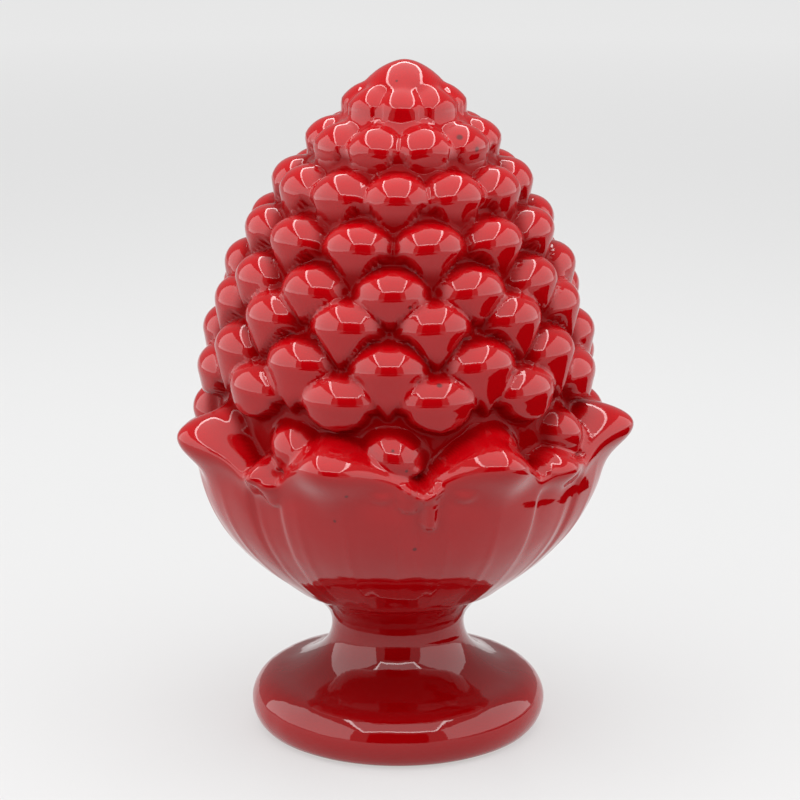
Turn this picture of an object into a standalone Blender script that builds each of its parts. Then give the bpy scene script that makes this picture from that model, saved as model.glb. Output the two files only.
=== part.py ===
"""A pinecone finial in glazed ceramic: a cone of scales in a cup of leaves, on a neck and a round foot.

One turned outline gives the outer form. The grooves between the scales are cut into it and the leaf tips are
raised from it, by functions of the height and of the azimuth round the axis, so it is one closed solid.
"""

import math

import bmesh
import bpy

NAME = "pinecone_finial"

# Driving dimensions, in metres. Each outline point is a radius and a height, from the apex down.
CONE_OUTLINE = [
    (0.0000, 0.2000),
    (0.0080, 0.1976),
    (0.0150, 0.1922),
    (0.0320, 0.1750),
    (0.0460, 0.1540),
    (0.0545, 0.1325),
    (0.0595, 0.1120),
    (0.0605, 0.0960),
]
CUP_OUTLINE = [
    (0.0595, 0.0820),
    (0.0567, 0.0725),
    (0.0517, 0.0636),
    (0.0438, 0.0545),
    (0.0345, 0.0467),
    (0.0223, 0.0370),
]
FOOT_OUTLINE = [
    (0.0198, 0.0310),
    (0.0228, 0.0232),
    (0.0315, 0.0172),
    (0.0405, 0.0144),
    (0.0441, 0.0085),
    (0.0425, 0.0020),
    (0.0385, 0.0000),
]

# The whorls of scales, from the apex down: the height of the bosses, the height of the points below them, how
# many scales there are, and half a scale's width.
WHORLS = [
    (0.1908, 0.1815, 8, 0.0078),
    (0.1810, 0.1705, 10, 0.0098),
    (0.1690, 0.1565, 12, 0.0114),
    (0.1561, 0.1455, 12, 0.0124),
    (0.1435, 0.1345, 12, 0.0125),
    (0.1346, 0.1230, 12, 0.0125),
    (0.1231, 0.1088, 12, 0.0129),
    (0.1139, 0.1048, 12, 0.0140),
    (0.0975, 0.0915, 12, 0.0100),
]
ROUND_ENDED_WHORLS = 2
ROUND_END_POWER = 2.5
POINTED_END_POWER = 0.85
SCALE_HEIGHT = 0.0083
SCALE_HEIGHT_AT_AXIS = 0.0052
SCALE_HEIGHT_GROWTH = 0.11
SCALE_RELIEF = 0.0069
SCALE_RELIEF_GROWTH = 0.15
DOME_POWER = 0.8
DOME_WALL = 2.5
SCALE_REACH = 1.2
GROOVE_SHARE = 1.15
KEEL_SHARE = 0.38
FACE_WIDTH = 0.65
FACE_TILT = 8.0
WALL_SLOPE = 3.6
KNOB_RADIUS = 0.0125
KNOB_DROP = 0.0024
KNOB_WALL = 4.0
GLAZE_FILLET = 0.0008

# The leaves of the cup: each large one's first edge, tip and second edge, as azimuths in degrees from the
# front towards +X. A small leaf is tucked into each gap between them.
LEAVES = [
    (-78.0, -62.0, -45.0),
    (-33.5, -17.0, 6.0),
    (6.0, 28.0, 41.0),
    (61.0, 79.0, 97.0),
    (111.0, 130.0, 149.0),
    (164.0, 182.0, 201.0),
    (220.0, 238.0, 257.0),
]
NOTCH_HEIGHT = 0.0880
NOTCH_REACH = 0.0012
NOTCH_THICKNESS = 0.0026
NOTCH_LEDGE = 0.0035
TIP_HEIGHT = 0.0963
TIP_REACH = 0.0095
TIP_THICKNESS = 0.0055
TIP_LEDGE = 0.0076
TIP_SPREAD = 7.7
SMALL_TIP_HEIGHT = 0.0900
SMALL_TIP_REACH = 0.0038
SMALL_TIP_SPREAD = 4.5
INNER_DEPTH = 0.0085
LEAF_CROWN = 0.0013
LEAF_EDGE_DROP = 0.0012
LEAF_EDGE_SLOPE = 1.4
LEAF_EDGE_ROUNDING = 0.0005
LEAF_CREASE = 0.0003
LEAF_FOOT_HEIGHT = 0.0425
LEAF_FOOT_ROUNDING = 0.0015
LEAF_THICKNESS = 0.0008
NECK_TOP = 0.0300

# The cone turns and leans a little, as the moulded piece does.
TWIST = -3.0
LEAN = 0.0018
LEAN_START = 0.110

# Mesh density: the rows on the cone follow the bosses and keels of the whorls.
TURN_STEPS = 72
KNOB_ROW_HEIGHTS = [0.1985, 0.1965, 0.1937]
LEDGE_ROW_HEIGHTS = [0.1070, 0.1045, 0.1025, 0.1005, 0.0985, 0.0963, 0.0940, 0.0912, 0.0880, 0.0850]
ROW_SPACING = 0.0046
UNDERSIDE_RING = 0.5
OUTLINE_STEPS = 24


def smoothstep(value):
    value = min(1.0, max(0.0, value))
    return value * value * (3.0 - 2.0 * value)


def smooth_maximum(first, second, width):
    """The larger of two values, with a rounded change from one to the other."""
    return 0.5 * (first + second + math.sqrt((first - second) ** 2 + width**2))


def bell(distance, radius):
    """1 at the middle, falling smoothly to both sides."""
    return math.exp(-0.5 * (distance / radius) ** 2)


def tangent(points, index):
    before = points[max(index - 1, 0)]
    after = points[min(index + 1, len(points) - 1)]
    run = (after[0] - before[0], after[1] - before[1])
    length = math.hypot(*run)
    return run[0] / length, run[1] / length


def dense_outline():
    """Closely spaced points of the smooth curve through the outline's points, from the apex down."""
    points = CONE_OUTLINE + CUP_OUTLINE + FOOT_OUTLINE
    tangents = [tangent(points, index) for index in range(len(points))]
    tangents[0] = (1.0, 0.0)
    tangents[-1] = (-1.0, 0.0)
    dense = []
    for index in range(len(points) - 1):
        start = points[index]
        end = points[index + 1]
        span = math.dist(start, end)
        for step in range(OUTLINE_STEPS):
            t = step / OUTLINE_STEPS
            weights = (
                2 * t**3 - 3 * t**2 + 1,
                (t**3 - 2 * t**2 + t) * span,
                3 * t**2 - 2 * t**3,
                (t**3 - t**2) * span,
            )
            terms = (start, tangents[index], end, tangents[index + 1])
            dense.append(tuple(sum(w * term[axis] for w, term in zip(weights, terms)) for axis in (0, 1)))
    dense.append(points[-1])
    return dense


def scale_relief(radius):
    """How far the scales stand out where the cone has this radius: they grow shallow towards the apex."""
    return min(SCALE_RELIEF, SCALE_RELIEF_GROWTH * radius)


class Whorl:
    """One ring of scales: where its bosses stand, the outline's slope there, and the scales' sizes."""

    def __init__(self, index, dense):
        self.height, point_height, count, self.half_width = WHORLS[index]
        place = min(range(1, len(dense) - 1), key=lambda i: abs(dense[i][1] - self.height))
        self.radius = dense[place][0]
        run = (dense[place + 1][0] - dense[place - 1][0], dense[place + 1][1] - dense[place - 1][1])
        self.sine = run[0] / math.hypot(*run)
        self.cosine = -run[1] / math.hypot(*run)
        self.pitch = 360.0 / count
        self.phase = 0.5 * self.pitch * (index % 2)
        self.half_height = min(SCALE_HEIGHT, SCALE_HEIGHT_AT_AXIS + SCALE_HEIGHT_GROWTH * self.radius)
        self.rise = scale_relief(self.radius)
        rounded = index >= len(WHORLS) - ROUND_ENDED_WHORLS
        self.end_power = ROUND_END_POWER if rounded else POINTED_END_POWER
        self.face_slope = math.tan(math.atan2(self.sine, self.cosine) + math.radians(FACE_TILT))
        self.keel = KEEL_SHARE * self.half_height
        self.length = (self.height - point_height) / self.cosine - self.keel

    def below_boss(self, radius, height):
        """How far down the slope a point of the outline lies from the ring of bosses."""
        return (radius - self.radius) * self.sine + (self.height - height) * self.cosine

    def dome(self, across, below):
        """The boss: a rounded dome, level with the outline at its middle."""
        outward = (across / self.half_width) ** 2 + (below / self.half_height) ** 2
        if outward < 1.0:
            return self.rise * ((1.0 - outward) ** DOME_POWER - 1.0)
        return -self.rise * (1.0 + DOME_WALL * (math.sqrt(outward) - 1.0))

    def scale(self, azimuth, below):
        """How far one scale stands out from the outline: a boss above its keel, and a tapering flat face."""
        across = math.radians(abs(azimuth)) * self.radius
        under = below - self.keel
        if under < 0.0:
            return self.dome(across, below)
        taper = max(0.0, 1.0 - (under / self.length) ** self.end_power)
        half_face = FACE_WIDTH * self.half_width * taper
        face = self.dome(min(across, half_face), self.keel) - self.face_slope * under
        return face - WALL_SLOPE * max(0.0, across - half_face)


def scales(whorls, azimuth, radius, height):
    """The height above the outline of all the scales that reach here, joined by the glaze."""
    surface = -GROOVE_SHARE * scale_relief(radius)
    knob = 1.0 - (radius / KNOB_RADIUS) ** 2
    if height > WHORLS[1][0]:
        knob_top = KNOB_DROP * (math.sqrt(knob) - 1.0 if knob > 0.0 else KNOB_WALL * knob - 1.0)
        surface = smooth_maximum(surface, knob_top, GLAZE_FILLET)
    for whorl in whorls:
        below = whorl.below_boss(radius, height)
        if below < -SCALE_REACH * whorl.half_height or below > whorl.keel + whorl.length:
            continue
        nearest = (azimuth - whorl.phase + 0.5 * whorl.pitch) % whorl.pitch - 0.5 * whorl.pitch
        for offset in (nearest, whorl.pitch - abs(nearest)):
            surface = smooth_maximum(surface, whorl.scale(offset, below), GLAZE_FILLET)
    return surface


def leaf_at(azimuth):
    """The leaf at an azimuth: whether it is small, the angle from its tip, and the place across it."""
    azimuth = (azimuth - LEAVES[0][0]) % 360.0 + LEAVES[0][0]
    following = LEAVES[1:] + [(LEAVES[0][0] + 360.0,)]
    for (start, tip, end), after in zip(LEAVES, following):
        if azimuth <= end:
            small = False
            break
        if azimuth <= after[0]:
            small = True
            start, end = end, after[0]
            tip = 0.5 * (start + end)
            break
    from_tip = azimuth - tip
    return small, from_tip, from_tip / (end - tip if from_tip > 0.0 else tip - start)


def blades(azimuth, radius):
    """The large leaves' outer faces round the bowl: crowned, with rounded edges over the small leaves."""
    surface = -LEAF_EDGE_DROP
    for start, tip, end in LEAVES:
        half_span = 0.5 * (end - start)
        from_middle = abs((azimuth - start - half_span + 180.0) % 360.0 - 180.0)
        if from_middle > 2.0 * half_span:
            continue
        outside = math.radians(from_middle - half_span) * radius
        crown = LEAF_CROWN * (1.0 - min(1.0, from_middle / half_span) ** 1.5)
        fall = smooth_maximum(outside, 0.0, LEAF_EDGE_ROUNDING)
        surface = smooth_maximum(surface, crown - LEAF_EDGE_SLOPE * fall, LEAF_CREASE)
    return surface


def cup(azimuth, radius, height, grooved):
    """The leaves: a thick curled tip with a ledge behind it, and the outer faces below it."""
    small, from_tip, across = leaf_at(azimuth)
    lift = 1.0 - across**2
    curl = lift * bell(from_tip, SMALL_TIP_SPREAD if small else TIP_SPREAD)
    top_height = SMALL_TIP_HEIGHT if small else TIP_HEIGHT
    top_reach = SMALL_TIP_REACH if small else TIP_REACH
    rim = NOTCH_HEIGHT + (top_height - NOTCH_HEIGHT) * lift
    reach = NOTCH_REACH + (top_reach - NOTCH_REACH) * curl
    fullness = (reach - NOTCH_REACH) / (TIP_REACH - NOTCH_REACH)
    if height > rim:
        ledge = NOTCH_LEDGE + (TIP_LEDGE - NOTCH_LEDGE) * math.sqrt(fullness)
        lip = max(0.0, 1.0 - ((height - rim) / ledge) ** 2) ** 0.75
        return smooth_maximum(grooved, -INNER_DEPTH + (reach + INNER_DEPTH) * lip, GLAZE_FILLET)
    lip = bell(height - rim, NOTCH_THICKNESS + (TIP_THICKNESS - NOTCH_THICKNESS) * fullness)
    fade = smoothstep((height - LEAF_FOOT_HEIGHT) / (NOTCH_HEIGHT - LEAF_FOOT_HEIGHT))
    return reach * lip + fade * blades(azimuth, radius) * (1.0 - lip)


def leaf_foot(height):
    """The small step where the leaves' layer ends above the neck."""
    under = 1.0 - smoothstep((height - LEAF_FOOT_HEIGHT) / LEAF_FOOT_ROUNDING)
    return -LEAF_THICKNESS * under * smoothstep((height - NECK_TOP) / (LEAF_FOOT_HEIGHT - NECK_TOP))


def relief(whorls, point):
    """How far the surface stands out from the turned outline at a point of it."""
    azimuth = math.degrees(math.atan2(point.x, -point.y))
    radius = math.hypot(point.x, point.y)
    grooved = scales(whorls, azimuth, radius, point.z) if point.z > NOTCH_HEIGHT else 0.0
    if point.z > TIP_HEIGHT + 2.0 * TIP_LEDGE:
        return grooved
    if point.z < LEAF_FOOT_HEIGHT:
        return leaf_foot(point.z)
    return leaf_foot(point.z) + cup(azimuth, radius, point.z, grooved)


def row_heights(whorls):
    """The heights of the rows on the cone: each whorl's bosses, its keels and midway to the next bosses."""
    heights = list(KNOB_ROW_HEIGHTS)
    for whorl, following in zip(whorls, whorls[1:]):
        keel_height = whorl.height - whorl.keel * whorl.cosine
        heights += [whorl.height, keel_height, 0.5 * (keel_height + following.height)]
    heights.pop()
    return heights + LEDGE_ROW_HEIGHTS


def outline_rows(dense, whorls):
    """The profile's points: rows at the chosen heights on the cone and the ledges, and even steps below."""
    heights = row_heights(whorls)
    rows = [dense[0]]
    travelled = 0.0
    for before, point in zip(dense, dense[1:]):
        travelled += math.dist(before, point)
        while heights and point[1] <= heights[0]:
            share = (before[1] - heights[0]) / (before[1] - point[1])
            rows.append((before[0] + share * (point[0] - before[0]), heights.pop(0)))
            travelled = 0.0
        if not heights and travelled >= ROW_SPACING:
            rows.append(point)
            travelled = 0.0
    if travelled < 0.5 * ROW_SPACING:
        rows.pop()
    return rows + [dense[-1], (UNDERSIDE_RING * dense[-1][0], 0.0), (0.0, 0.0)]


def turned_form(rows):
    """The outline's rows, turned round the axis."""
    profile = bpy.data.meshes.new("outline")
    points = [(radius, 0.0, height) for radius, height in rows]
    profile.from_pydata(points, [(index, index + 1) for index in range(len(rows) - 1)], [])
    form = bpy.data.objects.new(NAME, profile)
    screw = form.modifiers.new("turn", "SCREW")
    screw.axis = "Z"
    screw.steps = TURN_STEPS
    screw.render_steps = TURN_STEPS
    screw.use_merge_vertices = True
    screw.merge_threshold = 0.00001
    screw.use_smooth_shade = True
    return form


def split_along_relief(form_mesh, whorls, rise):
    """Splits each four-sided face along the diagonal that lies nearer to the carved surface."""
    for face in [face for face in form_mesh.faces if len(face.verts) == 4]:
        a, b, c, d = face.verts
        middle = relief(whorls, face.calc_center_median())
        first = abs(0.5 * (rise[a] + rise[c]) - middle)
        second = abs(0.5 * (rise[b] + rise[d]) - middle)
        ends = (a, c) if first <= second else (b, d)
        bmesh.utils.face_split(face, *ends)


def carve(turned_mesh, whorls):
    """Moves each point of the turned form out or in by the relief, then twists and leans the cone."""
    form_mesh = bmesh.new()
    form_mesh.from_mesh(turned_mesh)
    form_mesh.normal_update()
    normals = {vertex: vertex.normal.copy() for vertex in form_mesh.verts}
    rise = {vertex: relief(whorls, vertex.co) for vertex in form_mesh.verts}
    split_along_relief(form_mesh, whorls, rise)
    for vertex in form_mesh.verts:
        turned = smoothstep((vertex.co.z - NOTCH_HEIGHT) / (LEAN_START - NOTCH_HEIGHT))
        turn = math.radians(TWIST) * turned
        vertex.co += rise[vertex] * normals[vertex]
        x, y = vertex.co.x, vertex.co.y
        vertex.co.x = x * math.cos(turn) - y * math.sin(turn)
        vertex.co.y = x * math.sin(turn) + y * math.cos(turn)
        vertex.co.x += LEAN * smoothstep((vertex.co.z - LEAN_START) / (CONE_OUTLINE[0][1] - LEAN_START))
    form_mesh.to_mesh(turned_mesh)
    form_mesh.free()


def red_glaze():
    material = bpy.data.materials.new("red_glaze")
    material.use_nodes = True
    shader = material.node_tree.nodes["Principled BSDF"]
    shader.inputs["Base Color"].default_value = (0.50, 0.0, 0.006, 1.0)
    shader.inputs["Roughness"].default_value = 0.05
    shader.inputs["Metallic"].default_value = 0.0
    shader.inputs["Coat Weight"].default_value = 1.0
    return material


def main():
    for old in list(bpy.data.objects):
        bpy.data.objects.remove(old, do_unlink=True)
    collection = bpy.data.collections.new(NAME)
    bpy.context.scene.collection.children.link(collection)
    dense = dense_outline()
    whorls = [Whorl(index, dense) for index in range(len(WHORLS))]
    finial = turned_form(outline_rows(dense, whorls))
    collection.objects.link(finial)
    graph = bpy.context.evaluated_depsgraph_get()
    turned_mesh = bpy.data.meshes.new_from_object(finial.evaluated_get(graph))
    carve(turned_mesh, whorls)
    turned_mesh.name = NAME
    finial.modifiers.clear()
    finial.data = turned_mesh
    turned_mesh.materials.append(red_glaze())
    turned_mesh.shade_smooth()


main()
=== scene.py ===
"""The looks of the pinecone finial: its fine carved surface, its deep red glaze and a white light tent."""

import math

import bpy
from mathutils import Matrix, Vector, noise


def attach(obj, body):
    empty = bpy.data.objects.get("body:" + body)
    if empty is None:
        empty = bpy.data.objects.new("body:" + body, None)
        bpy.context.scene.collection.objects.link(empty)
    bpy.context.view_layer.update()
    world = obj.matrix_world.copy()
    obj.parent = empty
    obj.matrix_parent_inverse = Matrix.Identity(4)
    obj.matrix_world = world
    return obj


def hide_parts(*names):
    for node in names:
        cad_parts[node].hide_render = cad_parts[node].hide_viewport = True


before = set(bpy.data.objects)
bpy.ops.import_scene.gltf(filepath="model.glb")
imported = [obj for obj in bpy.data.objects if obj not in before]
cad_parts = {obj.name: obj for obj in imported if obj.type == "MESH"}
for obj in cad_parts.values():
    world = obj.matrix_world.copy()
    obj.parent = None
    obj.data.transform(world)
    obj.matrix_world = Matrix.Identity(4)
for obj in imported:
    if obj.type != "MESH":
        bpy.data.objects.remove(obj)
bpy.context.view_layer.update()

NODE = "pinecone_finial"
PIECE = "glazed_pinecone"

# The shape, in metres: the same named sizes as the solid's, carved here on a much finer mesh. Each outline
# point is a radius and a height, from the apex down.
CONE_OUTLINE = [
    (0.0000, 0.2000),
    (0.0080, 0.1976),
    (0.0150, 0.1922),
    (0.0320, 0.1750),
    (0.0460, 0.1540),
    (0.0545, 0.1325),
    (0.0595, 0.1120),
    (0.0605, 0.0960),
]
CUP_OUTLINE = [
    (0.0595, 0.0820),
    (0.0567, 0.0725),
    (0.0517, 0.0636),
    (0.0438, 0.0545),
    (0.0345, 0.0467),
    (0.0223, 0.0370),
]
FOOT_OUTLINE = [
    (0.0198, 0.0310),
    (0.0228, 0.0232),
    (0.0315, 0.0172),
    (0.0405, 0.0144),
    (0.0441, 0.0085),
    (0.0425, 0.0020),
    (0.0385, 0.0000),
]

# The whorls of scales, from the apex down: the height of the bosses, the height of the points below them, how
# many scales there are, and half a scale's width.
WHORLS = [
    (0.1908, 0.1815, 8, 0.0078),
    (0.1810, 0.1705, 10, 0.0098),
    (0.1690, 0.1565, 12, 0.0114),
    (0.1561, 0.1455, 12, 0.0124),
    (0.1435, 0.1345, 12, 0.0125),
    (0.1346, 0.1230, 12, 0.0125),
    (0.1231, 0.1088, 12, 0.0129),
    (0.1139, 0.1048, 12, 0.0140),
    (0.0975, 0.0915, 12, 0.0100),
]
ROUND_ENDED_WHORLS = 2
ROUND_END_POWER = 2.5
POINTED_END_POWER = 0.85
SCALE_HEIGHT = 0.0083
SCALE_HEIGHT_AT_AXIS = 0.0052
SCALE_HEIGHT_GROWTH = 0.11
SCALE_RELIEF = 0.0069
SCALE_RELIEF_GROWTH = 0.15
DOME_POWER = 0.8
DOME_WALL = 2.5
SCALE_REACH = 1.2
GROOVE_SHARE = 1.15
KEEL_SHARE = 0.38
FACE_WIDTH = 0.65
FACE_TILT = 8.0
WALL_SLOPE = 3.6
KNOB_RADIUS = 0.0125
KNOB_DROP = 0.0024
KNOB_WALL = 4.0
GLAZE_FILLET = 0.0008

# The leaves of the cup: each large one's first edge, tip and second edge, as azimuths in degrees from the
# front towards +X. A small leaf is tucked into each gap between them.
LEAVES = [
    (-78.0, -62.0, -45.0),
    (-33.5, -17.0, 6.0),
    (6.0, 28.0, 41.0),
    (61.0, 79.0, 97.0),
    (111.0, 130.0, 149.0),
    (164.0, 182.0, 201.0),
    (220.0, 238.0, 257.0),
]
NOTCH_HEIGHT = 0.0880
NOTCH_REACH = 0.0012
NOTCH_THICKNESS = 0.0026
NOTCH_LEDGE = 0.0035
TIP_HEIGHT = 0.0963
TIP_REACH = 0.0095
TIP_THICKNESS = 0.0055
TIP_LEDGE = 0.0076
TIP_SPREAD = 7.7
SMALL_TIP_HEIGHT = 0.0900
SMALL_TIP_REACH = 0.0038
SMALL_TIP_SPREAD = 4.5
INNER_DEPTH = 0.0085
LIP_POWER = 0.75
LEAF_CROWN = 0.0013
LEAF_CROWN_POWER = 1.5
LEAF_EDGE_DROP = 0.0012
LEAF_EDGE_SLOPE = 1.4
LEAF_EDGE_ROUNDING = 0.0005
LEAF_CREASE = 0.0003
LEAF_FOOT_HEIGHT = 0.0425
LEAF_FOOT_ROUNDING = 0.0015
LEAF_THICKNESS = 0.0008
NECK_TOP = 0.0300

# The cone turns and leans a little, as the moulded piece does.
TWIST = -3.0
LEAN = 0.0018
LEAN_START = 0.110

# Mesh density: the steps round the axis, the metres between rows, and how much the mesh is evened out.
TURN_STEPS = 435
CONE_ROW_SPACING = 0.00098
LEDGE_ROW_SPACING = 0.00042
LEDGE_TOP = 0.1055
LEDGE_BOTTOM = 0.0790
CUP_ROW_SPACING = 0.00125
FOOT_ROW_SPACING = 0.00200
OUTLINE_STEPS = 60
UNDERSIDE_RINGS = (1.0, 0.85, 0.5, 0.0)
MERGE_DISTANCE = 0.00001
SOFTENING = 0.5
SOFTENING_PASSES = 1
LEDGE_SOFTENING_PASSES = 6

# The gentle waves and ripples of the thick glaze.
WAVE_HEIGHT = 0.00012
WAVE_LENGTH = 0.008
RIPPLE_HEIGHT = 0.00003
RIPPLE_LENGTH = 0.003

# Drips of glaze that hang from the leaves' rim at the front: the azimuth of each, the height of its lower
# end, half its width and its thickness.
DRIPS = [
    (-4.0, 0.0862, 0.0032, 0.0010),
    (3.0, 0.0832, 0.0030, 0.0014),
    (8.3, 0.0782, 0.0020, 0.0022),
    (17.5, 0.0858, 0.0030, 0.0012),
    (-36.0, 0.0812, 0.0024, 0.0014),
]
DRIP_TOP = 0.0905

# Beads of glaze in the notches between the leaves: azimuth, height, radius and rise.
BEADS = [
    (6.6, 0.0938, 0.0022, 0.0022),
    (3.2, 0.0903, 0.0020, 0.0020),
    (9.8, 0.0900, 0.0020, 0.0022),
    (6.6, 0.0882, 0.0016, 0.0018),
    (44.0, 0.0925, 0.0026, 0.0020),
    (-40.0, 0.0905, 0.0024, 0.0018),
]

# The leaves' veins, faint under the glaze.
VEIN_GAP = 14.0
VEIN_RISE = 0.00024
VEIN_WIDTH = 0.0009
VEIN_HEIGHT = 0.066
VEIN_SPREAD = 0.013

# Pinholes and small chips in the glaze, at the front: how far right, how high, and the radius, inside which
# the share given last is fully dark.
PINHOLES = [
    (0.0033, 0.1391, 0.0007),
    (-0.0011, 0.1009, 0.0006),
    (0.0027, 0.0952, 0.0006),
    (-0.0003, 0.1954, 0.0005),
    (-0.0178, 0.0803, 0.0006),
    (-0.0140, 0.0890, 0.0007),
    (0.0115, 0.1183, 0.0010),
    (0.0172, 0.1814, 0.0012),
    (0.0222, 0.1777, 0.0010),
    (0.0047, 0.0719, 0.0008),
]
HOLE_COLOUR = (0.11, 0.0020, 0.0020, 1.0)
DARK_HOLE_SHARE = 0.5

# The glaze: brightest on what faces up and darker below, which is painted shade; darker in the grooves,
# partly glaze pooled thick there and partly painted shade; darker in the hollow above the foot; with bare
# clay underneath.
# The grooves shine less than real glaze does, so that they stay dark as photographed.
GROOVE_ATTRIBUTE = "grooves"
HOLLOW_ATTRIBUTE = "hollow above the foot"
# The grooves' darker colour, partly glaze pooled thick and partly painted shade, and their weaker shine grow
# between these depths.
GROOVE_POOL_AND_SHADE_START = 0.40
GROOVE_POOL_AND_SHADE_RANGE = 0.40
GROOVE_SHINE = 0.08
HOLLOW_HEIGHT = 0.021
HOLLOW_SPREAD = 0.009
# The crest colour is the glaze where it faces up. The dark colour is the painted shade on what faces down,
# the grooves' colour (partly glaze pooled thick, partly painted shade) and the glaze's cloudy darker tone.
CREST_COLOUR = (0.40, 0.0008, 0.0032, 1.0)
DARK_GLAZE_AND_PAINTED_SHADE_COLOUR = (0.20, 0.0003, 0.0010, 1.0)
HOLLOW_COLOUR = (0.15, 0.0002, 0.0006, 1.0)
CLAY_COLOUR = (0.62, 0.47, 0.36, 1.0)
CLAY_HEIGHTS = (0.0006, 0.0003)
CLAY_ROUGHNESS = 0.85
# Painted shade: between these two facings the colour darkens from the crest colour towards the dark colour,
# by the share below.
BRIGHT_TO_DARK_FACING = (0.75, -0.25)
DARK_FACING_SHARE = 0.50
GLAZE_IOR = 1.5
GLAZE_SHINE = 0.5
GLAZE_ROUGHNESS = (0.035, 0.065)

# The glaze's cloudy shade and roughness, and its fine orange peel.
CLOUD_SCALE = 60.0
CLOUD_DETAIL = 3.0
CLOUD_RANGE = (0.3, 0.7)
CLOUD_SHADE = 0.22
PEEL_SCALE = 420.0
PEEL_DETAIL = 1.0
PEEL_STRENGTH = 0.10
PEEL_DEPTH = 0.0002

# The light tent's ceiling: a glowing sheet, its corners' places to the right and back, and a brighter rim.
CEILING_HEIGHT = 0.65
CEILING_CORNERS = [(-0.40, -0.72), (0.40, -0.72), (0.18, 0.44), (-0.18, 0.44)]
CEILING_RADIANCE = 1.7
RIM_SHARE = 0.14
RIM_RADIANCE = 9.0

# The tent's walls, at both sides, and the even light of the room.
WALL_DISTANCE = 0.62
WALL_FORWARD = -0.22
WALL_MIDDLE = 0.42
WALL_SIZE = (1.20, 0.78)
LEFT_RADIANCE = 1.9
RIGHT_RADIANCE = 1.7
ROOM_RADIANCE = 0.38

# What is dark round the object, as its reflections show: a centre and a size each.
DARK_CARDS = {
    "open front": ((0.0, -0.95, 0.32), (0.76, 0.01, 0.62)),
    "dark floor edge": ((0.0, -0.71, 0.002), (0.60, 0.48, 0.002)),
    "dark table at the right": ((0.32, -0.04, 0.003), (0.32, 0.26, 0.002)),
}

# The floor, which glows more with distance, like a white sweep that is lit from behind.
FLOOR_RADIUS = 4.0
FLOOR_EDGES = 128
FLOOR_COLOUR = (0.27, 0.27, 0.27, 1.0)
FLOOR_ROUGHNESS = 0.9
FLOOR_SHINE = 0.1
FLOOR_GLOW_DISTANCES = (0.25, 1.60)
FLOOR_GLOW = (0.46, 0.68)
WHITE = (1.0, 1.0, 1.0, 1.0)
BLACK = (0.0, 0.0, 0.0, 1.0)

# The camera, read from the photograph's perspective.
CAMERA_DISTANCE = 0.800
CAMERA_PITCH = 15.0
CAMERA_AIM = Vector((0.0006, 0.0, 0.0996))
FRAME_PIXELS = 800
FOCAL_PIXELS = 2712
SENSOR_WIDTH = 36.0


def smoothstep(value):
    """0 up to 0, 1 from 1 on, and a smooth rise between."""
    value = min(1.0, max(0.0, value))
    return value * value * (3.0 - 2.0 * value)


def smooth_maximum(first, second, width):
    """The larger of two values, with a rounded change from one to the other."""
    return 0.5 * (first + second + math.sqrt((first - second) ** 2 + width**2))


def bell(distance, radius):
    """1 at the middle, falling smoothly to both sides."""
    return math.exp(-0.5 * (distance / radius) ** 2)


def tangent(points, index):
    """The outline's direction at one of its points."""
    before = points[max(index - 1, 0)]
    after = points[min(index + 1, len(points) - 1)]
    run = (after[0] - before[0], after[1] - before[1])
    length = math.hypot(*run)
    return run[0] / length, run[1] / length


def dense_outline():
    """Closely spaced points of the smooth curve through the outline's points, from the apex down."""
    points = CONE_OUTLINE + CUP_OUTLINE + FOOT_OUTLINE
    tangents = [tangent(points, index) for index in range(len(points))]
    tangents[0] = (1.0, 0.0)
    tangents[-1] = (-1.0, 0.0)
    dense = []
    for index in range(len(points) - 1):
        start = points[index]
        end = points[index + 1]
        span = math.dist(start, end)
        for step in range(OUTLINE_STEPS):
            t = step / OUTLINE_STEPS
            weights = (
                2 * t**3 - 3 * t**2 + 1,
                (t**3 - 2 * t**2 + t) * span,
                3 * t**2 - 2 * t**3,
                (t**3 - t**2) * span,
            )
            terms = (start, tangents[index], end, tangents[index + 1])
            dense.append(tuple(sum(w * term[axis] for w, term in zip(weights, terms)) for axis in (0, 1)))
    dense.append(points[-1])
    return dense


def outline_rows(dense):
    """The profile's points, evenly spaced in each part of the outline, and the underside's."""
    rows = [dense[0]]
    travelled = 0.0
    for before, point in zip(dense, dense[1:]):
        travelled += math.dist(before, point)
        spacing = FOOT_ROW_SPACING
        if point[1] > CUP_OUTLINE[-1][1]:
            spacing = CUP_ROW_SPACING
        if point[1] > LEDGE_BOTTOM:
            spacing = LEDGE_ROW_SPACING
        if point[1] > LEDGE_TOP:
            spacing = CONE_ROW_SPACING
        if travelled >= spacing:
            rows.append(point)
            travelled = 0.0
    if travelled < 0.5 * FOOT_ROW_SPACING:
        rows.pop()
    return rows + [(dense[-1][0] * share, 0.0) for share in UNDERSIDE_RINGS]


def scale_relief(radius):
    """How far the scales stand out where the cone has this radius: they grow shallow towards the apex."""
    return min(SCALE_RELIEF, SCALE_RELIEF_GROWTH * radius)


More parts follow.
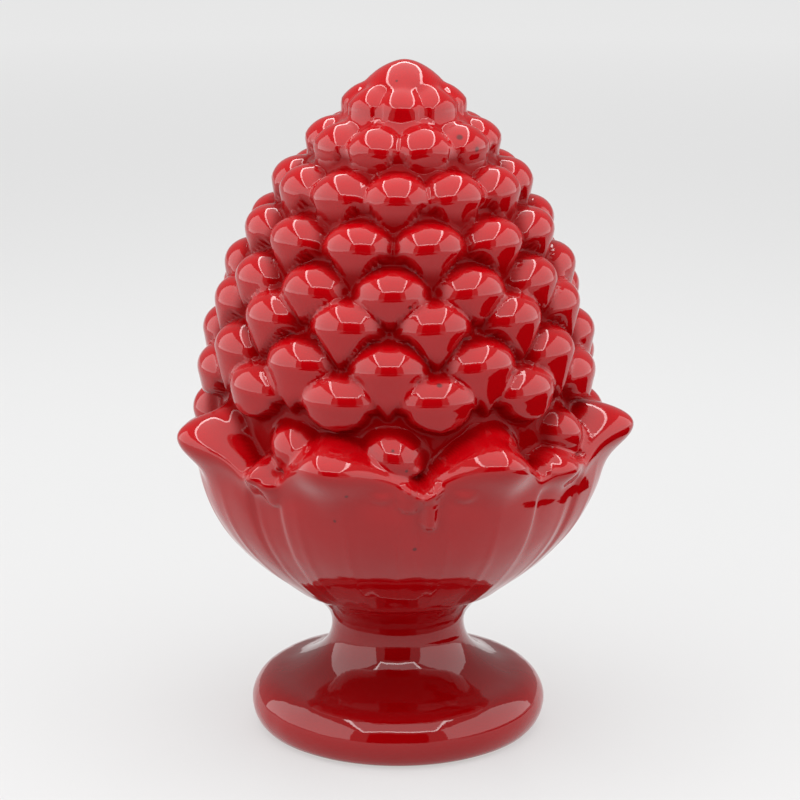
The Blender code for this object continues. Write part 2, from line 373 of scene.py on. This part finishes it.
class Whorl:
    """One ring of scales: where its bosses stand, the outline's slope there, and the scales' sizes."""

    def __init__(self, index, dense):
        self.height, point_height, count, self.half_width = WHORLS[index]
        place = min(range(1, len(dense) - 1), key=lambda i: abs(dense[i][1] - self.height))
        self.radius = dense[place][0]
        run = (dense[place + 1][0] - dense[place - 1][0], dense[place + 1][1] - dense[place - 1][1])
        self.sine = run[0] / math.hypot(*run)
        self.cosine = -run[1] / math.hypot(*run)
        self.pitch = 360.0 / count
        self.phase = 0.5 * self.pitch * (index % 2)
        self.half_height = min(SCALE_HEIGHT, SCALE_HEIGHT_AT_AXIS + SCALE_HEIGHT_GROWTH * self.radius)
        self.rise = scale_relief(self.radius)
        rounded = index >= len(WHORLS) - ROUND_ENDED_WHORLS
        self.end_power = ROUND_END_POWER if rounded else POINTED_END_POWER
        self.face_slope = math.tan(math.atan2(self.sine, self.cosine) + math.radians(FACE_TILT))
        self.keel = KEEL_SHARE * self.half_height
        self.length = (self.height - point_height) / self.cosine - self.keel

    def below_boss(self, radius, height):
        """How far down the slope a point of the outline lies from the ring of bosses."""
        return (radius - self.radius) * self.sine + (self.height - height) * self.cosine

    def dome(self, across, below):
        """The boss: a rounded dome, level with the outline at its middle."""
        outward = (across / self.half_width) ** 2 + (below / self.half_height) ** 2
        if outward < 1.0:
            return self.rise * ((1.0 - outward) ** DOME_POWER - 1.0)
        return -self.rise * (1.0 + DOME_WALL * (math.sqrt(outward) - 1.0))

    def scale(self, azimuth, below):
        """How far one scale stands out from the outline: a boss above its keel, and a tapering flat face."""
        across = math.radians(abs(azimuth)) * self.radius
        under = below - self.keel
        if under < 0.0:
            return self.dome(across, below)
        taper = max(0.0, 1.0 - (under / self.length) ** self.end_power)
        half_face = FACE_WIDTH * self.half_width * taper
        face = self.dome(min(across, half_face), self.keel) - self.face_slope * under
        return face - WALL_SLOPE * max(0.0, across - half_face)


def scales(whorls, azimuth, radius, height):
    """The height above the outline of all the scales that reach here, joined by the glaze."""
    surface = -GROOVE_SHARE * scale_relief(radius)
    knob = 1.0 - (radius / KNOB_RADIUS) ** 2
    if height > WHORLS[1][0]:
        knob_top = KNOB_DROP * (math.sqrt(knob) - 1.0 if knob > 0.0 else KNOB_WALL * knob - 1.0)
        surface = smooth_maximum(surface, knob_top, GLAZE_FILLET)
    for whorl in whorls:
        below = whorl.below_boss(radius, height)
        if below < -SCALE_REACH * whorl.half_height or below > whorl.keel + whorl.length:
            continue
        nearest = (azimuth - whorl.phase + 0.5 * whorl.pitch) % whorl.pitch - 0.5 * whorl.pitch
        for offset in (nearest, whorl.pitch - abs(nearest)):
            surface = smooth_maximum(surface, whorl.scale(offset, below), GLAZE_FILLET)
    return surface


def leaf_at(azimuth):
    """The leaf at an azimuth: whether it is small, the angle from its tip, and the place across it."""
    azimuth = (azimuth - LEAVES[0][0]) % 360.0 + LEAVES[0][0]
    following = LEAVES[1:] + [(LEAVES[0][0] + 360.0,)]
    for (start, tip, end), after in zip(LEAVES, following):
        if azimuth <= end:
            small = False
            break
        if azimuth <= after[0]:
            small = True
            start, end = end, after[0]
            tip = 0.5 * (start + end)
            break
    from_tip = azimuth - tip
    return small, from_tip, from_tip / (end - tip if from_tip > 0.0 else tip - start)


def blades(azimuth, radius):
    """The large leaves' outer faces round the bowl: crowned, with rounded edges over the small leaves."""
    surface = -LEAF_EDGE_DROP
    for start, tip, end in LEAVES:
        half_span = 0.5 * (end - start)
        from_middle = abs((azimuth - start - half_span + 180.0) % 360.0 - 180.0)
        if from_middle > 2.0 * half_span:
            continue
        outside = math.radians(from_middle - half_span) * radius
        crown = LEAF_CROWN * (1.0 - min(1.0, from_middle / half_span) ** LEAF_CROWN_POWER)
        fall = smooth_maximum(outside, 0.0, LEAF_EDGE_ROUNDING)
        surface = smooth_maximum(surface, crown - LEAF_EDGE_SLOPE * fall, LEAF_CREASE)
    return surface


def cup(azimuth, radius, height, grooved):
    """The leaves: a thick curled tip with a ledge behind it, and the outer faces below it."""
    small, from_tip, across = leaf_at(azimuth)
    lift = 1.0 - across**2
    curl = lift * bell(from_tip, SMALL_TIP_SPREAD if small else TIP_SPREAD)
    top_height = SMALL_TIP_HEIGHT if small else TIP_HEIGHT
    top_reach = SMALL_TIP_REACH if small else TIP_REACH
    rim = NOTCH_HEIGHT + (top_height - NOTCH_HEIGHT) * lift
    reach = NOTCH_REACH + (top_reach - NOTCH_REACH) * curl
    fullness = (reach - NOTCH_REACH) / (TIP_REACH - NOTCH_REACH)
    if height > rim:
        ledge = NOTCH_LEDGE + (TIP_LEDGE - NOTCH_LEDGE) * math.sqrt(fullness)
        lip = max(0.0, 1.0 - ((height - rim) / ledge) ** 2) ** LIP_POWER
        return smooth_maximum(grooved, -INNER_DEPTH + (reach + INNER_DEPTH) * lip, GLAZE_FILLET)
    lip = bell(height - rim, NOTCH_THICKNESS + (TIP_THICKNESS - NOTCH_THICKNESS) * fullness)
    fade = smoothstep((height - LEAF_FOOT_HEIGHT) / (NOTCH_HEIGHT - LEAF_FOOT_HEIGHT))
    return reach * lip + fade * blades(azimuth, radius) * (1.0 - lip)


def leaf_foot(height):
    """The small step where the leaves' layer ends above the neck."""
    under = 1.0 - smoothstep((height - LEAF_FOOT_HEIGHT) / LEAF_FOOT_ROUNDING)
    return -LEAF_THICKNESS * under * smoothstep((height - NECK_TOP) / (LEAF_FOOT_HEIGHT - NECK_TOP))


def relief(whorls, point):
    """How far the surface stands out from the turned outline at a point of it."""
    azimuth = math.degrees(math.atan2(point.x, -point.y))
    radius = math.hypot(point.x, point.y)
    grooved = scales(whorls, azimuth, radius, point.z) if point.z > NOTCH_HEIGHT else 0.0
    if point.z > TIP_HEIGHT + 2.0 * TIP_LEDGE:
        return grooved
    if point.z < LEAF_FOOT_HEIGHT:
        return leaf_foot(point.z)
    return leaf_foot(point.z) + cup(azimuth, radius, point.z, grooved)


def turned_mesh(dense):
    """The outline's rows, turned round the axis into one closed mesh."""
    rows = outline_rows(dense)
    profile = bpy.data.meshes.new("outline")
    points = [(radius, 0.0, height) for radius, height in rows]
    profile.from_pydata(points, [(index, index + 1) for index in range(len(rows) - 1)], [])
    form = bpy.data.objects.new("turned form", profile)
    bpy.context.scene.collection.objects.link(form)
    screw = form.modifiers.new("turn", "SCREW")
    screw.axis = "Z"
    screw.steps = TURN_STEPS
    screw.render_steps = TURN_STEPS
    screw.use_merge_vertices = True
    screw.merge_threshold = MERGE_DISTANCE
    graph = bpy.context.evaluated_depsgraph_get()
    mesh = bpy.data.meshes.new_from_object(form.evaluated_get(graph))
    bpy.data.objects.remove(form, do_unlink=True)
    return mesh


def drip(azimuth, radius, height):
    """How thick the drips and beads of glaze are here."""
    thickness = 0.0
    for middle, end, half_width, rise in DRIPS:
        across = math.radians(azimuth - middle) * radius
        below = max(0.0, end + half_width - height)
        inside = max(0.0, 1.0 - (across**2 + below**2) / half_width**2)
        thickness = max(thickness, rise * math.sqrt(inside) * smoothstep((DRIP_TOP - height) / half_width))
    for middle, centre, reach, rise in BEADS:
        across = math.radians(azimuth - middle) * radius
        inside = max(0.0, 1.0 - (across**2 + (height - centre) ** 2) / reach**2)
        thickness += rise * inside
    return thickness


def vein(azimuth, radius, height):
    """The faint veins that run down the leaves."""
    across = math.radians((azimuth + 0.5 * VEIN_GAP) % VEIN_GAP - 0.5 * VEIN_GAP) * radius
    return VEIN_RISE * bell(across, VEIN_WIDTH) * bell(height - VEIN_HEIGHT, VEIN_SPREAD)


def glaze_detail(point):
    """The glaze's own relief: its gentle unevenness, the drips and the veins that show through it."""
    broad = WAVE_HEIGHT * noise.noise(point / WAVE_LENGTH)
    fine = RIPPLE_HEIGHT * noise.noise(point / RIPPLE_LENGTH)
    uneven = (broad + fine) * smoothstep(point.z / WAVE_LENGTH)
    azimuth = math.degrees(math.atan2(point.x, -point.y))
    radius = math.hypot(point.x, point.y)
    return uneven + drip(azimuth, radius, point.z) + vein(azimuth, radius, point.z)


def groove(rise, height):
    """How deep in the cone's grooves a point lies, from 0 on the scales to 1: the mask of the grooves' darker
    colour, partly glaze pooled thick and partly painted shade, and of their weaker shine.
    """
    if height < NOTCH_HEIGHT:
        return 0.0
    return smoothstep((-rise / SCALE_RELIEF - GROOVE_POOL_AND_SHADE_START) / GROOVE_POOL_AND_SHADE_RANGE)


def carve(mesh, whorls):
    """Moves each point of the turned form by the relief, then twists and leans the cone."""
    grooves = mesh.attributes.new(GROOVE_ATTRIBUTE, "FLOAT", "POINT")
    hollows = mesh.attributes.new(HOLLOW_ATTRIBUTE, "FLOAT", "POINT")
    normals = [vertex.normal.copy() for vertex in mesh.vertices]
    for vertex, normal in zip(mesh.vertices, normals):
        point = vertex.co.copy()
        if point.z <= 0.0:
            continue
        rise = relief(whorls, point)
        grooves.data[vertex.index].value = groove(rise, point.z)
        hollows.data[vertex.index].value = bell(point.z - HOLLOW_HEIGHT, HOLLOW_SPREAD)
        moved = point + (rise + glaze_detail(point)) * normal
        turned = smoothstep((point.z - NOTCH_HEIGHT) / (LEAN_START - NOTCH_HEIGHT))
        turn = math.radians(TWIST) * turned
        x = moved.x * math.cos(turn) - moved.y * math.sin(turn)
        y = moved.x * math.sin(turn) + moved.y * math.cos(turn)
        x += LEAN * smoothstep((moved.z - LEAN_START) / (CONE_OUTLINE[0][1] - LEAN_START))
        vertex.co = (x, y, moved.z)


def soften(mesh):
    """Evens out what the thick glaze would not leave sharp, most of all at the leaves' ledges."""
    form = bpy.data.objects.new("softened form", mesh)
    bpy.context.scene.collection.objects.link(form)
    ledges = form.vertex_groups.new(name="ledges")
    close_rows = [v.index for v in mesh.vertices if NOTCH_HEIGHT - NOTCH_THICKNESS < v.co.z < LEDGE_TOP]
    ledges.add(close_rows, 1.0, "REPLACE")
    smooth = form.modifiers.new("glaze", "SMOOTH")
    smooth.factor = SOFTENING
    smooth.iterations = SOFTENING_PASSES
    smooth = form.modifiers.new("ledges", "SMOOTH")
    smooth.factor = SOFTENING
    smooth.iterations = LEDGE_SOFTENING_PASSES
    smooth.vertex_group = "ledges"
    graph = bpy.context.evaluated_depsgraph_get()
    softened = bpy.data.meshes.new_from_object(form.evaluated_get(graph))
    bpy.data.objects.remove(form, do_unlink=True)
    return softened


def mix_colours(nodes, links, factor, first, second):
    """A node that mixes two colours, each a fixed colour or another node's output."""
    mix = nodes.new("ShaderNodeMix")
    mix.data_type = "RGBA"
    links.new(factor, mix.inputs["Factor"])
    for socket, colour in ((mix.inputs[6], first), (mix.inputs[7], second)):
        if isinstance(colour, tuple):
            socket.default_value = colour
        else:
            links.new(colour, socket)
    return mix.outputs[2]


def mapped(nodes, links, value, from_range, to_range):
    """A node that maps one range of a value onto another."""
    change = nodes.new("ShaderNodeMapRange")
    change.inputs["From Min"].default_value, change.inputs["From Max"].default_value = from_range
    change.inputs["To Min"].default_value, change.inputs["To Max"].default_value = to_range
    links.new(value, change.inputs["Value"])
    return change.outputs["Result"]


def pinholes(mesh, nodes, links, place):
    """A value that is 1 in the pinholes and chips, each a small ball round a point of the front surface."""
    holes = None
    front = [vertex.co for vertex in mesh.vertices if vertex.co.y < 0.0]
    for x, z, radius in PINHOLES:
        centre = min(front, key=lambda point: math.hypot(point.x - x, point.z - z))
        distance = nodes.new("ShaderNodeVectorMath")
        distance.operation = "DISTANCE"
        links.new(place, distance.inputs[0])
        distance.inputs[1].default_value = centre
        hole = mapped(nodes, links, distance.outputs["Value"], (radius, DARK_HOLE_SHARE * radius), (0.0, 1.0))
        if holes is not None:
            either = nodes.new("ShaderNodeMath")
            either.operation = "MAXIMUM"
            links.new(holes, either.inputs[0])
            links.new(hole, either.inputs[1])
            hole = either.outputs["Value"]
        holes = hole
    return holes


def noise_value(nodes, links, place, scale, detail):
    """A noise node's value at each place."""
    texture = nodes.new("ShaderNodeTexNoise")
    texture.inputs["Scale"].default_value = scale
    texture.inputs["Detail"].default_value = detail
    links.new(place, texture.inputs["Vector"])
    return texture.outputs["Fac"]


def attribute_value(nodes, name):
    """A node that reads one of the mesh's values."""
    attribute = nodes.new("ShaderNodeAttribute")
    attribute.attribute_name = name
    return attribute.outputs["Fac"]


def height_of(nodes, links, vector):
    """A node that reads a vector's upward share."""
    parts = nodes.new("ShaderNodeSeparateXYZ")
    links.new(vector, parts.inputs["Vector"])
    return parts.outputs["Z"]


def glaze_material(mesh):
    """The red glaze, from the mesh's own values, two noises and the pinholes' places."""
    material = bpy.data.materials.new("red glaze")
    material.use_nodes = True
    nodes = material.node_tree.nodes
    links = material.node_tree.links
    shader = nodes["Principled BSDF"]
    shader.inputs["IOR"].default_value = GLAZE_IOR

    place = nodes.new("ShaderNodeTexCoord").outputs["Object"]
    clouds = noise_value(nodes, links, place, CLOUD_SCALE, CLOUD_DETAIL)
    peel = noise_value(nodes, links, place, PEEL_SCALE, PEEL_DETAIL)
    grooves = attribute_value(nodes, GROOVE_ATTRIBUTE)
    hollow = attribute_value(nodes, HOLLOW_ATTRIBUTE)
    facing = height_of(nodes, links, nodes.new("ShaderNodeNewGeometry").outputs["Normal"])
    # Painted shade: the colour darkens on what faces down.
    painted_facing_shade = mapped(nodes, links, facing, BRIGHT_TO_DARK_FACING, (0.0, DARK_FACING_SHARE))
    shade = mapped(nodes, links, clouds, CLOUD_RANGE, (0.0, CLOUD_SHADE))
    holes = pinholes(mesh, nodes, links, place)
    bare = mapped(nodes, links, height_of(nodes, links, place), CLAY_HEIGHTS, (0.0, 1.0))

    colour = mix_colours(nodes, links, painted_facing_shade, CREST_COLOUR, DARK_GLAZE_AND_PAINTED_SHADE_COLOUR)
    # The grooves' darker colour: partly glaze pooled thick, partly painted shade.
    colour = mix_colours(nodes, links, grooves, colour, DARK_GLAZE_AND_PAINTED_SHADE_COLOUR)
    colour = mix_colours(nodes, links, hollow, colour, HOLLOW_COLOUR)
    colour = mix_colours(nodes, links, shade, colour, DARK_GLAZE_AND_PAINTED_SHADE_COLOUR)
    colour = mix_colours(nodes, links, holes, colour, HOLE_COLOUR)
    colour = mix_colours(nodes, links, bare, colour, CLAY_COLOUR)
    links.new(colour, shader.inputs["Base Color"])

    roughness = nodes.new("ShaderNodeMath")
    roughness.operation = "MAXIMUM"
    links.new(mapped(nodes, links, clouds, CLOUD_RANGE, GLAZE_ROUGHNESS), roughness.inputs[0])
    links.new(mapped(nodes, links, bare, (0.0, 1.0), (0.0, CLAY_ROUGHNESS)), roughness.inputs[1])
    links.new(roughness.outputs["Value"], shader.inputs["Roughness"])
    shine = mapped(nodes, links, grooves, (0.0, 1.0), (GLAZE_SHINE, GROOVE_SHINE))
    links.new(shine, shader.inputs["Specular IOR Level"])

    bump = nodes.new("ShaderNodeBump")
    bump.inputs["Strength"].default_value = PEEL_STRENGTH
    bump.inputs["Distance"].default_value = PEEL_DEPTH
    links.new(peel, bump.inputs["Height"])
    links.new(bump.outputs["Normal"], shader.inputs["Normal"])
    return material


def make_finial():
    """The finial's fine surface, which takes the solid's place."""
    dense = dense_outline()
    whorls = [Whorl(index, dense) for index in range(len(WHORLS))]
    mesh = turned_mesh(dense)
    carve(mesh, whorls)
    mesh = soften(mesh)
    mesh.name = PIECE
    mesh.shade_smooth()
    mesh.materials.append(glaze_material(mesh))
    finial = bpy.data.objects.new(PIECE, mesh)
    bpy.context.scene.collection.objects.link(finial)
    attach(finial, "root")
    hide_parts(NODE)


def panel_light(name, centre, facing, width, height, radiance):
    """A flat panel of even light, seen in reflections and not by the camera."""
    light = bpy.data.lights.new(name, "AREA")
    light.shape = "RECTANGLE"
    light.size = width
    light.size_y = height
    light.energy = radiance * math.pi * width * height
    panel = bpy.data.objects.new(name, light)
    panel.location = centre
    panel.rotation_euler = Vector(facing).to_track_quat("-Z", "Y").to_euler()
    panel.visible_camera = False
    bpy.context.scene.collection.objects.link(panel)


def plain_material(name, radiance):
    """A black surface that glows evenly, or not at all."""
    material = bpy.data.materials.new(name)
    material.use_nodes = True
    shader = material.node_tree.nodes["Principled BSDF"]
    shader.inputs["Base Color"].default_value = BLACK
    shader.inputs["Specular IOR Level"].default_value = 0.0
    shader.inputs["Emission Color"].default_value = WHITE
    shader.inputs["Emission Strength"].default_value = radiance
    return material


def card(name, centre, size):
    """A dark card where the tent is open, seen only in reflections."""
    bpy.ops.mesh.primitive_cube_add(size=1.0, location=centre)
    screen = bpy.context.object
    screen.name = name
    screen.scale = size
    screen.data.materials.append(plain_material(name, 0.0))
    screen.visible_camera = False
    screen.visible_diffuse = False
    screen.visible_shadow = False


def glowing_sheet(name, corners, radiance):
    """A flat sheet of even light through the given corners, seen in reflections and not by the camera."""
    mesh = bpy.data.meshes.new(name)
    mesh.from_pydata(corners, [], [tuple(range(len(corners)))])
    mesh.materials.append(plain_material(name, radiance))
    sheet = bpy.data.objects.new(name, mesh)
    sheet.visible_camera = False
    bpy.context.scene.collection.objects.link(sheet)


def make_lights():
    """The tent: its ceiling with the bright rim, its two walls, and what is dark round the object."""
    inner = [Vector((x, y, CEILING_HEIGHT)) for x, y in CEILING_CORNERS]
    centre = sum(inner, Vector()) / len(inner)
    outer = [centre + (corner - centre) * (1.0 + RIM_SHARE) for corner in inner]
    glowing_sheet("ceiling", inner, CEILING_RADIANCE)
    for index in range(len(inner)):
        following = (index + 1) % len(inner)
        corners = [inner[index], inner[following], outer[following], outer[index]]
        glowing_sheet(f"ceiling rim {index + 1}", corners, RIM_RADIANCE)
    for name, side, radiance in (("left wall", -1.0, LEFT_RADIANCE), ("right wall", 1.0, RIGHT_RADIANCE)):
        centre = (side * WALL_DISTANCE, WALL_FORWARD, WALL_MIDDLE)
        panel_light(name, centre, (-side, 0.0, 0.0), *WALL_SIZE, radiance)
    for name, (centre, size) in DARK_CARDS.items():
        card(name, centre, size)


def make_world():
    """The room's even light."""
    world = bpy.data.worlds.new("white room")
    world.use_nodes = True
    background = world.node_tree.nodes["Background"]
    background.inputs["Color"].default_value = WHITE
    background.inputs["Strength"].default_value = ROOM_RADIANCE
    bpy.context.scene.world = world


def make_floor():
    """A pale floor that runs on as the backdrop."""
    bpy.ops.mesh.primitive_circle_add(vertices=FLOOR_EDGES, radius=FLOOR_RADIUS, fill_type="NGON")
    floor = bpy.context.object
    floor.name = "floor"
    material = bpy.data.materials.new("pale floor")
    material.use_nodes = True
    shader = material.node_tree.nodes["Principled BSDF"]
    shader.inputs["Base Color"].default_value = FLOOR_COLOUR
    shader.inputs["Roughness"].default_value = FLOOR_ROUGHNESS
    shader.inputs["Specular IOR Level"].default_value = FLOOR_SHINE
    shader.inputs["Emission Color"].default_value = WHITE
    nodes = material.node_tree.nodes
    links = material.node_tree.links
    place = nodes.new("ShaderNodeTexCoord")
    distance = nodes.new("ShaderNodeVectorMath")
    distance.operation = "LENGTH"
    links.new(place.outputs["Object"], distance.inputs[0])
    glow = mapped(nodes, links, distance.outputs["Value"], FLOOR_GLOW_DISTANCES, FLOOR_GLOW)
    links.new(glow, shader.inputs["Emission Strength"])
    floor.data.materials.append(material)


def make_camera():
    """The camera, turned down by its pitch and aimed at a point of the axis."""
    lens = bpy.data.cameras.new("camera")
    lens.sensor_width = SENSOR_WIDTH
    lens.lens = FOCAL_PIXELS * SENSOR_WIDTH / FRAME_PIXELS
    camera = bpy.data.objects.new("camera", lens)
    pitch = math.radians(CAMERA_PITCH)
    back = Vector((0.0, -math.cos(pitch), math.sin(pitch)))
    camera.location = CAMERA_AIM + CAMERA_DISTANCE * back
    camera.rotation_euler = (0.5 * math.pi - pitch, 0.0, 0.0)
    bpy.context.scene.collection.objects.link(camera)
    bpy.context.scene.camera = camera


make_camera()
make_world()
make_lights()
make_floor()
make_finial()
bpy.context.scene.view_settings.view_transform = "Standard"
